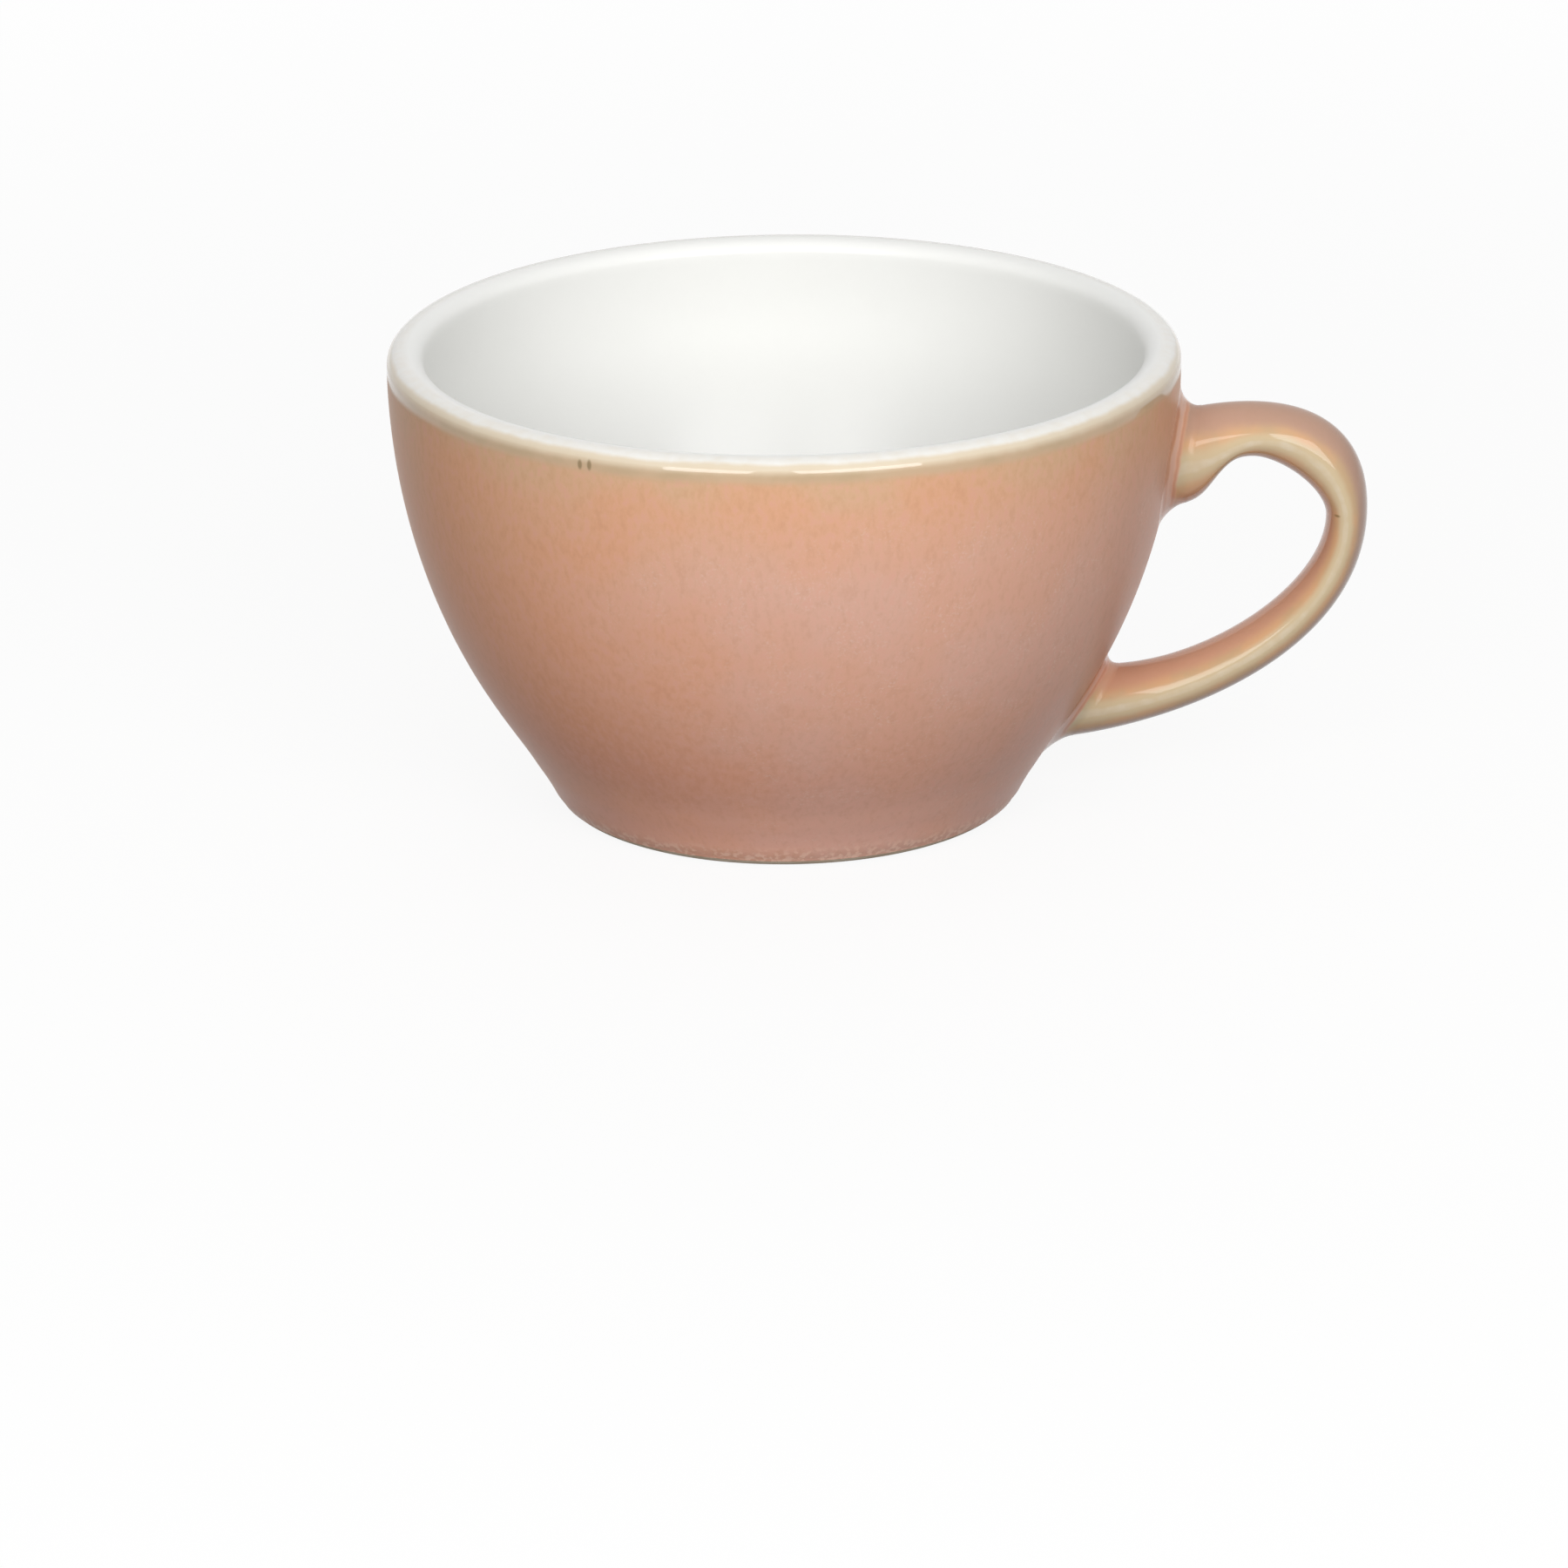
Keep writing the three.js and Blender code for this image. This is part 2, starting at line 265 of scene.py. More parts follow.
def lipArc(start, end, steps):
    turn = np.radians(np.linspace(start, end, steps + 1))
    half = cup["rimWall"] / 2
    across = rimRadius - half + half * np.cos(turn)
    return np.column_stack([across, rimHeight + cup["lipRise"] * np.sin(turn)])


edgeRadius = cup["footEdgeRadius"]
flareAngle = math.degrees(math.atan(cup["footFlare"] / cup["footHeight"]))
wallStart = edgeRadius * (1 - math.sin(math.radians(flareAngle)))


def footEdge(start, end, steps):
    centre = wallRadius(wallStart) - edgeRadius * math.cos(math.radians(flareAngle))
    return arc(centre, edgeRadius, edgeRadius, start, end, steps)


def underside():
    # the recess, and the foot ring up to the edge of the rose coat
    steps = cup["filletSteps"]
    footInner = cup["footDiameter"] / 2 - cup["footRingWidth"]
    fillet = cup["recessFillet"]
    corner = arc(footInner - fillet, cup["recessDepth"] - fillet, fillet, 90, 0, steps)
    inner = cup["footInnerEdgeRadius"]
    ringInner = arc(footInner + inner, inner, inner, 180, 270, steps)
    ringOuter = footEdge(-90, -cup["bareFootAngle"], steps)
    return np.vstack([[0, cup["recessDepth"]], corner]), np.vstack([ringInner, ringOuter])


def outside():
    glazedEdge = footEdge(-cup["bareFootAngle"], -flareAngle, cup["glazedEdgeSteps"])[1:]
    heights = np.linspace(wallStart, rimHeight, cup["wallSteps"] + 1)[1:-1]
    wall = np.column_stack([wallRadius(heights), heights])
    return np.vstack([glazedEdge, wall, lipArc(0, cup["linerEdgeAngle"], cup["seamSteps"])])


def insideWall():
    turn = np.linspace(0, math.pi / 2, cup["insideSteps"] + 1)[1:]
    power = 2 / cup["insideFullness"]
    radius = (rimRadius - cup["rimWall"]) * np.maximum(np.cos(turn), 0) ** power
    radius[-1] = 0
    height = rimHeight - (rimHeight - cup["floorHeight"]) * np.sin(turn) ** power
    return np.column_stack([radius, height])


# one outline from the middle of the underside to the middle of the inside floor
recess, footRing = underside()
outerWall = outside()
lip = lipArc(cup["linerEdgeAngle"], 180, cup["lipSteps"])[1:]
clay = np.vstack([recess, footRing, outerWall, lip, insideWall()])
recessEnd = len(recess)
coatStart = recessEnd + len(footRing) - 1
seamAt = coatStart + len(outerWall)
print("clay outline:", len(clay), "points")


def coatFace(thickness):
    # the clay outline moved out square to itself
    along = np.gradient(clay, axis=0)
    along /= np.linalg.norm(along, axis=1)[:, None]
    face = clay + np.column_stack([along[:, 1], -along[:, 0]]) * np.reshape(thickness, (-1, 1))
    face[clay[:, 0] == 0, 0] = 0
    return face


def coatLoop(first, last, thickness):
    face = coatFace(thickness)[first:last + 1]
    back = coatFace(cup["coatBed"])[first:last + 1]
    return np.vstack([face, back[::-1]])


# Ear handle and its slip collars: outlines

ear = {
    "tipDrop": 20.8 * mm,           # tip below the rim
    "gripThickness": 4.5 * mm,
    "gripWidth": 9.2 * mm,
    "rootWidth": 10.4 * mm,
    "rootBlend": 12.0 * mm,
    "innerTipDrop": 0.8 * mm,
    "archDrop": 5.1 * mm,
    "archSetback": 14.2 * mm,
    "upperRootDrop": 8.4 * mm,
    "upperRootDepth": 11.7 * mm,
    "lowerRootHeight": 8.5 * mm,
    "lowerRootDepth": 8.6 * mm,
    "slip": 1.5 * mm,               # between bowl and the end of the handle
    "sink": 2.6 * mm,               # the ends run on into the wall
    "roundness": 2.0,               # superellipse power of the section
    "shoulderAngle": 12.8,
    "tailAngle": 7.1,
    "beakAngle": 3.4,
    "innerTailAngle": 1.3,
    "shoulderPull": 0.64,
    "tipPullAbove": 0.89,
    "tipPullBelow": 0.59,
    "tailPull": 0.42,
    "beakPull": 0.61,
    "archPullBehind": 0.56,
    "archPullAhead": 0.36,
    "innerTipPullAbove": 0.48,
    "innerTipPullBelow": 0.49,
    "innerTailPull": 0.45,
    "curvePoints": 200,             # of each curve before it is stepped evenly
    "upperSteps": 70,
    "lowerSteps": 75,
    "sides": 56,
}

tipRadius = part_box("handle")[1].x - axisX
tipHeight = clayHigh.z - ear["tipDrop"]
upperRootTop = clayHigh.z - ear["upperRootDrop"]
lowerRootTop = ear["lowerRootHeight"] + ear["lowerRootDepth"]


def edgePoint(height):
    return np.array([wallRadius(height) + ear["slip"], height])


def pulled(point, angle, length):
    turn = math.radians(angle)
    return point + length * np.array([math.cos(turn), math.sin(turn)])


def edgeCurve(*points):
    return bezier(np.linspace(0, 1, ear["curvePoints"])[:, None], *points)


def evenly(points, steps):
    lengths = np.append(0, np.cumsum(np.linalg.norm(np.diff(points, axis=0), axis=1)))
    marks = np.linspace(0, lengths[-1], steps + 1)
    return np.column_stack([np.interp(marks, lengths, points[:, k]) for k in range(points.shape[1])])


def outerEdge():
    start = edgePoint(upperRootTop)
    tip = np.array([tipRadius, tipHeight])
    end = edgePoint(ear["lowerRootHeight"])
    shoulder = pulled(start, ear["shoulderAngle"], ear["shoulderPull"] * (tip[0] - start[0]))
    aboveTip = pulled(tip, 90, ear["tipPullAbove"] * (start[1] - tip[1]))
    belowTip = pulled(tip, -90, ear["tipPullBelow"] * (tip[1] - end[1]))
    tail = pulled(end, ear["tailAngle"], ear["tailPull"] * (tip[0] - end[0]))
    upper = evenly(edgeCurve(start, shoulder, aboveTip, tip), ear["upperSteps"])
    lower = evenly(edgeCurve(tip, belowTip, tail, end), ear["lowerSteps"])
    return np.vstack([upper, lower[1:]])


def innerEdge():
    start = edgePoint(upperRootTop - ear["upperRootDepth"])
    arch = np.array([tipRadius - ear["archSetback"], upperRootTop - ear["archDrop"]])
    tip = np.array([tipRadius - ear["gripThickness"], tipHeight - ear["innerTipDrop"]])
    end = edgePoint(lowerRootTop)
    beak = pulled(start, ear["beakAngle"], ear["beakPull"] * (arch[0] - start[0]))
    behindArch = pulled(arch, 180, ear["archPullBehind"] * (arch[0] - start[0]))
    aheadOfArch = pulled(arch, 0, ear["archPullAhead"] * (tip[0] - arch[0]))
    aboveTip = pulled(tip, 90, ear["innerTipPullAbove"] * (arch[1] - tip[1]))
    belowTip = pulled(tip, -90, ear["innerTipPullBelow"] * (tip[1] - end[1]))
    tail = pulled(end, ear["innerTailAngle"], ear["innerTailPull"] * (tip[0] - end[0]))
    overArch = edgeCurve(start, beak, behindArch, arch)
    downToTip = edgeCurve(arch, aheadOfArch, aboveTip, tip)
    upper = evenly(np.vstack([overArch, downToTip[1:]]), ear["upperSteps"])
    lower = evenly(edgeCurve(tip, belowTip, tail, end), ear["lowerSteps"])
    return np.vstack([upper, lower[1:]])


def roundShare(value):
    return np.sign(value) * np.abs(value) ** (2 / ear["roundness"])


turns = np.linspace(0, 2 * math.pi, ear["sides"], endpoint=False)
thickShare = roundShare(np.cos(turns))      # 1 on the outer face, -1 in the finger gap
wideShare = roundShare(np.sin(turns))


def runOn(end, before):
    # the end ring moved straight on into the wall
    away = end - before
    return end + away / np.linalg.norm(away, axis=1)[:, None] * ear["sink"]


def earRings():
    outer = outerEdge()
    inner = innerEdge()
    fromUpper = np.linalg.norm(outer - outer[0], axis=1)
    fromLower = np.linalg.norm(outer - outer[-1], axis=1)
    slimming = smoothStep(np.minimum(fromUpper, fromLower), 0, ear["rootBlend"])
    width = ear["rootWidth"] + (ear["gripWidth"] - ear["rootWidth"]) * slimming
    middle = (outer + inner) / 2
    half = outer - middle
    half *= 1 + glaze / np.linalg.norm(half, axis=1)[:, None]
    halfWidth = width / 2 + glaze
    flat = middle[:, None, :] + thickShare[None, :, None] * half[:, None, :]
    across = halfWidth[:, None] * wideShare[None, :]
    rings = np.stack([flat[..., 0] + axisX, across, flat[..., 1]], axis=-1)
    first = runOn(rings[0], rings[1])
    last = runOn(rings[-1], rings[-2])
    return np.concatenate([first[None], rings, last[None]])


collar = {
    "topSpread": 3.6 * mm,          # on the bowl, beyond the handle
    "sideSpread": 3.4 * mm,
    "bottomSpread": 3.0 * mm,
    "climb": 2.9 * mm,              # along the handle
    "bowlPull": 0.5,                # fullness of the hollow towards each side
    "handlePull": 0.5,
    "proud": 0.03 * mm,             # ends this far above the handle, as a fine step
    "bury": 0.35 * mm,              # hidden back of the collar under both surfaces
    "steps": 18,
    "reach": 14,                    # rings of the ear that a collar may cover
}


def bowlPoint(angle, height, lift):
    radius = wallRadius(height) + glaze + lift
    return np.stack([axisX + radius * np.cos(angle), radius * np.sin(angle), height], axis=-1)


def collarRings(lines):
    # lines is one row of points per side of the handle, from inside the wall outwards
    gap = np.hypot(lines[..., 0] - axisX, lines[..., 1]) - wallRadius(lines[..., 2]) - glaze
    lengths = np.cumsum(np.linalg.norm(np.diff(lines, axis=1), axis=2), axis=1)
    lengths = np.hstack([np.zeros((len(lines), 1)), lengths])

    def onHandle(distance):
        points = []
        for line, length, clear in zip(lines, lengths, gap):
            meets = np.interp(0, clear, length)
            points.append([np.interp(meets + distance, length, line[:, k]) for k in range(3)])
        return np.array(points)

    # which way the collar spreads at each point of the corner, up or to the side
    corner = onHandle(0)
    middle = (corner.max(axis=0) + corner.min(axis=0)) / 2
    halfDepth = np.ptp(corner[:, 2]) / 2
    halfWidth = np.ptp(corner[:, 1]) / 2
    power = ear["roundness"] - 1
    up = (corner[:, 2] - middle[2]) / halfDepth
    side = corner[:, 1] / halfWidth
    up = np.sign(up) * np.abs(up) ** power / halfDepth
    side = np.sign(side) * np.abs(side) ** power / halfWidth
    size = np.hypot(up, side)
    up /= size
    side /= size
    outward = np.stack([np.zeros_like(up), side, up], axis=-1)
    vertical = np.where(up > 0, collar["topSpread"], collar["bottomSpread"])
    spread = vertical * up ** 2 + collar["sideSpread"] * side ** 2
    height = corner[:, 2] + spread * up
    cornerAngle = np.arctan2(corner[:, 1], corner[:, 0] - axisX)
    angle = cornerAngle + spread * side / wallRadius(corner[:, 2])
    # hollow fillet from the bowl to the handle
    onBowl = bowlPoint(angle, height, 0)
    onTop = onHandle(collar["climb"]) + outward * collar["proud"]
    towardsBowl = onBowl + (corner - onBowl) * collar["bowlPull"]
    towardsHandle = onTop + (corner - onTop) * collar["handlePull"]
    shares = list(np.linspace(0, 1, collar["steps"]))
    fillet = [bezier(t, onBowl, towardsBowl, towardsHandle, onTop) for t in shares]
    # hidden back: into the handle, down beside it and out under the bowl's face
    inHandle = onTop - outward * collar["bury"]
    inCorner = bowlPoint(cornerAngle, corner[:, 2], -collar["bury"]) - outward * collar["bury"]
    inBowl = bowlPoint(angle, height, -collar["bury"])
    shares += [1, 0.5, 0]
    return np.array(fillet + [inHandle, inCorner, inBowl]), np.repeat(shares, len(corner))


# Shader groups that the glazes share

# a noise is given by its scale per mm, its detail and, where it differs from 0.5, its roughness
mottling = {
    "fineNoise": (1.1, 3.0, 0.6),
    "drawn": (1.0, 1.0, 0.6),       # the grain is longer along the fall of the glaze
    "cloudNoise": (0.08, 3.0, 0.55),
}


def mottleGroup():
    group, inputs, outputs = newGroup("glazeMottle", {"Place": "Vector"},
                                      {"Fine": "Float", "Cloud": "Float"})
    drawn = put(group, "Mapping", {"Vector": inputs["Place"], "Scale": mottling["drawn"]}).outputs[0]
    group.links.new(noise(group, drawn, *mottling["fineNoise"]), outputs["Fine"])
    group.links.new(noise(group, inputs["Place"], *mottling["cloudNoise"]), outputs["Cloud"])
    return group


sparkle = {
    "dotNoise": (2.2, 2.0, 0.65),
    "dotAt": (0.5, 0.78),           # levels of the noise where dots begin and are full
    "patchNoise": (0.2, 3.0, 0.6),
    "patchAt": (0.34, 0.68),
}


def crystalGroup():
    group, inputs, outputs = newGroup("paleCrystals", {"Place": "Vector", "Amount": "Float"},
                                      {"Mask": "Float"})
    dots = ease(group, noise(group, inputs["Place"], *sparkle["dotNoise"]), *sparkle["dotAt"])
    patches = ease(group, noise(group, inputs["Place"], *sparkle["patchNoise"]), *sparkle["patchAt"])
    both = calc(group, "MULTIPLY", dots, patches)
    group.links.new(calc(group, "MULTIPLY", both, inputs["Amount"]), outputs["Mask"])
    return group


rippling = {
    "waveNoise": (0.12, 1.0),
    "peelNoise": (0.55, 2.0),
    "peelShare": 0.25,
    "grainNoise": (3.2, 2.0),
    "depth": 0.1 * mm,
}


def rippleGroup():
    group, inputs, outputs = newGroup("glazeRipple", {"Place": "Vector", "Grain": "Float"},
                                      {"Height": "Float"})
    waves = noise(group, inputs["Place"], *rippling["waveNoise"])
    peel = noise(group, inputs["Place"], *rippling["peelNoise"])
    waves = calc(group, "MULTIPLY_ADD", peel, rippling["peelShare"], waves)
    grain = noise(group, inputs["Place"], *rippling["grainNoise"])
    grain = calc(group, "MULTIPLY", grain, inputs["Grain"])
    group.links.new(calc(group, "ADD", waves, grain), outputs["Height"])
    return group


field = {
    # warm side of the rose field from the foot up: height in mm and colour
    "bands": [(1.5, rgb(230, 176, 153)), (3.3, rgb(236, 179, 158)), (4.8, rgb(237, 179, 158)),
              (7.0, rgb(232, 173, 149)), (10.7, rgb(222, 161, 136)), (14.5, rgb(222, 158, 131)),
              (22.0, rgb(223, 163, 134)), (29.0, rgb(227, 168, 138)), (41.0, rgb(228, 170, 137)),
              (53.0, rgb(225, 174, 139)), (57.5, rgb(219, 179, 143))],
    "top": 60.0,                    # mm, end of the colour bands
    "swing": 5.0,                   # mm, how far clouds push the bands up and down
    "swingFrom": (3.0, 12.0),       # mm, the bands lie level at the foot
    "haze": rgb(223, 186, 174),     # pale crystals on one side of the bowl
    "hazeAngle": -46,               # degrees from the handle, seen from above
    "hazeReach": (0.1, 0.95),       # of the rim's radius towards that side, from none to full
    "hazeWaver": 0.3,
    "hazeTop": (58.0, 42.0),        # mm, it fades out below the rim
    "hazeShare": 0.56,
    "warm": rgb(230, 166, 126),     # each with the levels of its noise and its share
    "warmAt": (0.6, 0.38),
    "warmShare": 0.2,
    "pink": rgb(226, 169, 151),
    "pinkAt": (0.44, 0.74),
    "pinkShare": 0.5,
    "dark": rgb(196, 136, 108),
    "darkAt": (0.6, 0.24),
    "darkShare": 0.24,
    "crystal": rgb(236, 208, 196),
    "crystalShare": 0.07,
    "crystalInHaze": 0.42,          # added where the haze is full
    "bead": rgb(255, 217, 197),
    "beadNoise": (1.2, 2.0),
    "beadAt": (0.46, 0.62),
    "beadTop": (3.6, 1.5),          # mm, from none to full
    "beadShare": 0.6,
}


def bandRamp(group, height):
    ramp = put(group, "ValToRGB", {0: calc(group, "DIVIDE", height, field["top"])})
    stops = ramp.color_ramp.elements
    ready = len(stops)              # a new ramp has its two ends
    for count, (level, color) in enumerate(field["bands"]):
        stop = stops[count] if count < ready else stops.new(level / field["top"])
        stop.position = level / field["top"]
        stop.color = color
    return ramp.outputs["Color"]


def roseGroup():
    group, inputs, outputs = newGroup("roseField", {"Place": "Vector", "Haze": "Float"},
                                      {"Color": "Color", "Fine": "Float"})
    spot = inputs["Place"]
    height = put(group, "SeparateXYZ", {0: spot}).outputs["Z"]
    mottle = place(group, mottles, {"Place": spot})
    swing = sway(group, mottle["Cloud"], field["swing"])
    swing = calc(group, "MULTIPLY", swing, ease(group, height, *field["swingFrom"]))
    color = bandRamp(group, calc(group, "ADD", height, swing))
    # haze on one side of the bowl
    turn = math.radians(field["hazeAngle"])
    reach = vectorCalc(group, "DOT_PRODUCT", spot, (math.cos(turn), math.sin(turn), 0))
    reach = calc(group, "DIVIDE", reach, rimRadius / mm)
    reach = calc(group, "ADD", reach, sway(group, mottle["Cloud"], field["hazeWaver"]))
    hazed = calc(group, "MULTIPLY", ease(group, reach, *field["hazeReach"]), inputs["Haze"])
    hazed = calc(group, "MULTIPLY", hazed, ease(group, height, *field["hazeTop"]))
    color = tint(group, color, field["haze"], hazed, field["hazeShare"])
    # slow drift to warm, then a fine soft grain of pink and dark
    for name, pattern in (("warm", "Cloud"), ("pink", "Fine"), ("dark", "Fine")):
        mask = ease(group, mottle[pattern], *field[name + "At"])
        color = tint(group, color, field[name], mask, field[name + "Share"])
    amount = calc(group, "MULTIPLY_ADD", hazed, field["crystalInHaze"], field["crystalShare"])
    dots = place(group, crystals, {"Place": spot, "Amount": amount})
    color = blend(group, dots["Mask"], color, field["crystal"])
    # the coat gathers in pale beads along its lower edge
    beads = ease(group, noise(group, spot, *field["beadNoise"]), *field["beadAt"])
    beads = calc(group, "MULTIPLY", beads, ease(group, height, *field["beadTop"]))
    color = tint(group, color, field["bead"], beads, field["beadShare"])
    group.links.new(color, outputs["Color"])
    group.links.new(mottle["Fine"], outputs["Fine"])
    return group


breaks = {
    "tan": rgb(206, 176, 142),      # each with how thin the coat is where it begins and is full
    "tanAt": (0.02, 0.5),
    "cream": rgb(224, 209, 184),
    "creamAt": (0.46, 0.88),
    "white": rgb(242, 242, 239),
    "whiteAt": (0.86, 1.06),
    "waverNoise": (0.6, 2.0),
    "waver": 0.04,
    "olive": rgb(192, 166, 130),    # stains in the tan
    "oliveNoise": (0.16, 3.0, 0.6),
    "oliveAt": (0.36, 0.66),
    "oliveShare": 0.7,
}


def breakGroup():
    # where the rose coat runs thin it goes to tan, then to cream and to the white under it
    coats = {"Place": "Vector", "Thin": "Float", "Rose": "Color", "Tan": "Color", "Cream": "Color"}
    group, inputs, outputs = newGroup("glazeBreak", coats, {"Color": "Color"})
    spot = inputs["Place"]
    waver = sway(group, noise(group, spot, *breaks["waverNoise"]), breaks["waver"])
    thin = calc(group, "ADD", inputs["Thin"], waver)
    stains = ease(group, noise(group, spot, *breaks["oliveNoise"]), *breaks["oliveAt"])
    tan = tint(group, inputs["Tan"], breaks["olive"], stains, breaks["oliveShare"])
    color = blend(group, ease(group, thin, *breaks["tanAt"]), inputs["Rose"], tan)
    color = blend(group, ease(group, thin, *breaks["creamAt"]), color, inputs["Cream"])
    color = blend(group, ease(group, thin, *breaks["whiteAt"]), color, breaks["white"])
    group.links.new(color, outputs["Color"])
    return group


# iron specks in the glaze: millimetres from the cup's axis, and half sizes
specks = {
    "rim": [((-22.1, -45.4, 58.3), (0.3, 0.7, 0.65)), ((-20.9, -46.0, 58.4), (0.3, 0.7, 0.7))],
    "handle": [((70.4, -5.0, 39.5), (0.5, 1.0, 0.22))],
    "color": rgb(132, 108, 66),
    "strength": 0.75,
    "edge": (1.3, 0.5),             # half sizes from the centre, where it begins and is full
}


def speckGroup():
    where = {"Place": "Vector", "Centre": "Vector", "Size": "Vector"}
    group, inputs, outputs = newGroup("ironSpeck", where, {"Mask": "Float"})
    offset = vectorCalc(group, "SUBTRACT", inputs["Place"], inputs["Centre"])
    away = vectorCalc(group, "LENGTH", vectorCalc(group, "DIVIDE", offset, inputs["Size"]))
    mask = calc(group, "MULTIPLY", ease(group, away, *specks["edge"]), specks["strength"])
    group.links.new(mask, outputs["Mask"])
    return group


def addSpecks(tree, spot, color, found):
    for centre, size in found:
        speck = place(tree, ironSpecks, {"Place": spot, "Centre": centre, "Size": size})
        color = blend(tree, speck["Mask"], color, specks["color"])
    return color


rimBreak = {
    "start": 0.4,                   # mm below the top of the lip, where the white ends
    "end": 3.6,                     # where the full rose begins
    "waver": 0.3,
    "waverNoise": (0.12, 3.0, 0.6),
    "crest": 0.6,                   # mm to each side of the lip's middle, from outside to inside
}


def rimGroup():
    # Thin is 1 on top of the lip and 0 on the wall below it, Inside is 1 from the lip inwards
    group, inputs, outputs = newGroup("rimBreak", {"Place": "Vector"},
                                      {"Thin": "Float", "Inside": "Float"})
    spot = inputs["Place"]
    height = put(group, "SeparateXYZ", {0: spot}).outputs["Z"]
    flat = vectorCalc(group, "MULTIPLY", spot, (1, 1, 0))
    waver = sway(group, noise(group, flat, *rimBreak["waverNoise"]), rimBreak["waver"])
    below = calc(group, "ADD", calc(group, "SUBTRACT", lipTop / mm, height), waver)
    group.links.new(remap(group, below, rimBreak["start"], rimBreak["end"], 1.0, 0.0), outputs["Thin"])
    lipMiddle = (rimRadius - cup["rimWall"] / 2) / mm
    radius = vectorCalc(group, "LENGTH", flat)
    within = ease(group, radius, lipMiddle + rimBreak["crest"], lipMiddle - rimBreak["crest"])
    group.links.new(within, outputs["Inside"])
    return group


mottles = mottleGroup()
crystals = crystalGroup()
ripples = rippleGroup()
roses = roseGroup()
breakColors = breakGroup()
rims = rimGroup()
ironSpecks = speckGroup()
print("shader groups:", len(bpy.data.node_groups))


# Materials of the pieces

noiseSpan = (0.3, 0.7)              # most of a noise texture lies between these


def cupPlace(tree):
    # millimetres from the cup's axis, fixed to the object
    moved = vectorCalc(tree, "ADD", put(tree, "TexCoord").outputs["Object"], (-axisX, 0, 0))
    return put(tree, "VectorMath", {0: moved, "Scale": 1 / mm}, operation="SCALE").outputs[0]


def setSurface(tree, shader, spot, pattern, look):
    # what all coats have: roughness that varies with a pattern, a refractive index and a faint ripple
    tree.links.new(remap(tree, pattern, *noiseSpan, *look["roughness"]), shader["Roughness"])
    shader["IOR"].default_value = look["ior"]
    height = place(tree, ripples, {"Place": spot, "Grain": look["grain"]})["Height"]
    bump = put(tree, "Bump", {"Strength": look["ripple"], "Distance": rippling["depth"], "Height": height})
    tree.links.new(bump.outputs[0], shader["Normal"])


rimGloss = {
    "roughness": 0.035,             # crisp along the rim
    "ior": 1.5,
}


def addGloss(tree, shader, weight):
    tree.links.new(weight, shader["Coat Weight"])
    shader["Coat Roughness"].default_value = rimGloss["roughness"]
    shader["Coat IOR"].default_value = rimGloss["ior"]


bowlGlaze = {
    "haze": 1.0,
    "roughness": (0.3, 0.37),
    "ior": 1.14,                    # low, for the satin face of the bowl
    "glossAt": (0.1, 0.4),          # how thin the coat is where the rim's gloss begins and is full
    "ripple": 0.25,
    "grain": 0.12,
}


def bowlMaterial():
    material, tree, shader = newMaterial("bowlRoseGlaze")
    spot = cupPlace(tree)
    rose = place(tree, roses, {"Place": spot, "Haze": bowlGlaze["haze"]})
    rim = place(tree, rims, {"Place": spot})
    color = place(tree, breakColors, {"Place": spot, "Thin": rim["Thin"], "Rose": rose["Color"],
                                      "Tan": breaks["tan"], "Cream": breaks["cream"]})
    tree.links.new(addSpecks(tree, spot, color["Color"], specks["rim"]), shader["Base Color"])
    setSurface(tree, shader, spot, rose["Fine"], bowlGlaze)
    addGloss(tree, shader, ease(tree, rim["Thin"], *bowlGlaze["glossAt"]))
    return material


liner = {
    "white": rgb(235, 235, 232),
    "paintedDeepShade": rgb(226, 226, 224),     # painted shade, greyer towards the bottom of the inside
    "paintedDeepShadeAt": (20.0, 54.0),         # mm above the table, where it is full and ends
    "cloudNoise": (0.05, 0.0),
    "drift": 6.0,                   # mm
    "lipAt": (57.5, 60.0),          # mm, purest white over the lip
    "roughness": (0.29, 0.33),
    "ior": 1.42,
    "ripple": 0.04,
    "grain": 0.0,
}


def linerMaterial():
    material, tree, shader = newMaterial("whiteLiner")
    spot = cupPlace(tree)
    rim = place(tree, rims, {"Place": spot})
    cloud = noise(tree, spot, *liner["cloudNoise"])
    height = put(tree, "SeparateXYZ", {0: spot}).outputs["Z"]
    drifted = calc(tree, "MULTIPLY_ADD", cloud, liner["drift"], height)
    # painted shade: the white inside turns greyer towards the bottom
    white = blend(tree, ease(tree, drifted, *liner["paintedDeepShadeAt"]), liner["paintedDeepShade"], liner["white"])
    white = blend(tree, ease(tree, height, *liner["lipAt"]), white, breaks["white"])
    color = place(tree, breakColors, {"Place": spot, "Thin": rim["Thin"], "Rose": white,
                                      "Tan": breaks["tan"], "Cream": breaks["cream"]})
    tree.links.new(blend(tree, rim["Inside"], color["Color"], white), shader["Base Color"])
    setSurface(tree, shader, spot, cloud, liner)
    addGloss(tree, shader, calc(tree, "SUBTRACT", 1.0, rim["Inside"]))
    return material


earGlaze = {
    "outer": rgb(180, 145, 126),    # thick on the outer face
    "inner": rgb(203, 155, 127),    # and in the finger gap
    "outerAt": (-0.3, 0.6),         # on the way to the outer face, from the inner to the outer colour
    "thick": 0.85,                  # share of these over the bowl's rose
    "tan": rgb(212, 168, 128),
    "cream": rgb(207, 187, 152),
    "thinAt": (0.9, 0.05),          # on the way from the sides to the faces, from thick to thin
    "thinnest": 0.9,
    "waverNoise": (0.2, 2.0),
    "waver": 0.08,
    "haze": 0.6,
    "roughness": (0.04, 0.07),
    "ior": 1.36,
    "ripple": 0.06,
    "grain": 0.02,
}


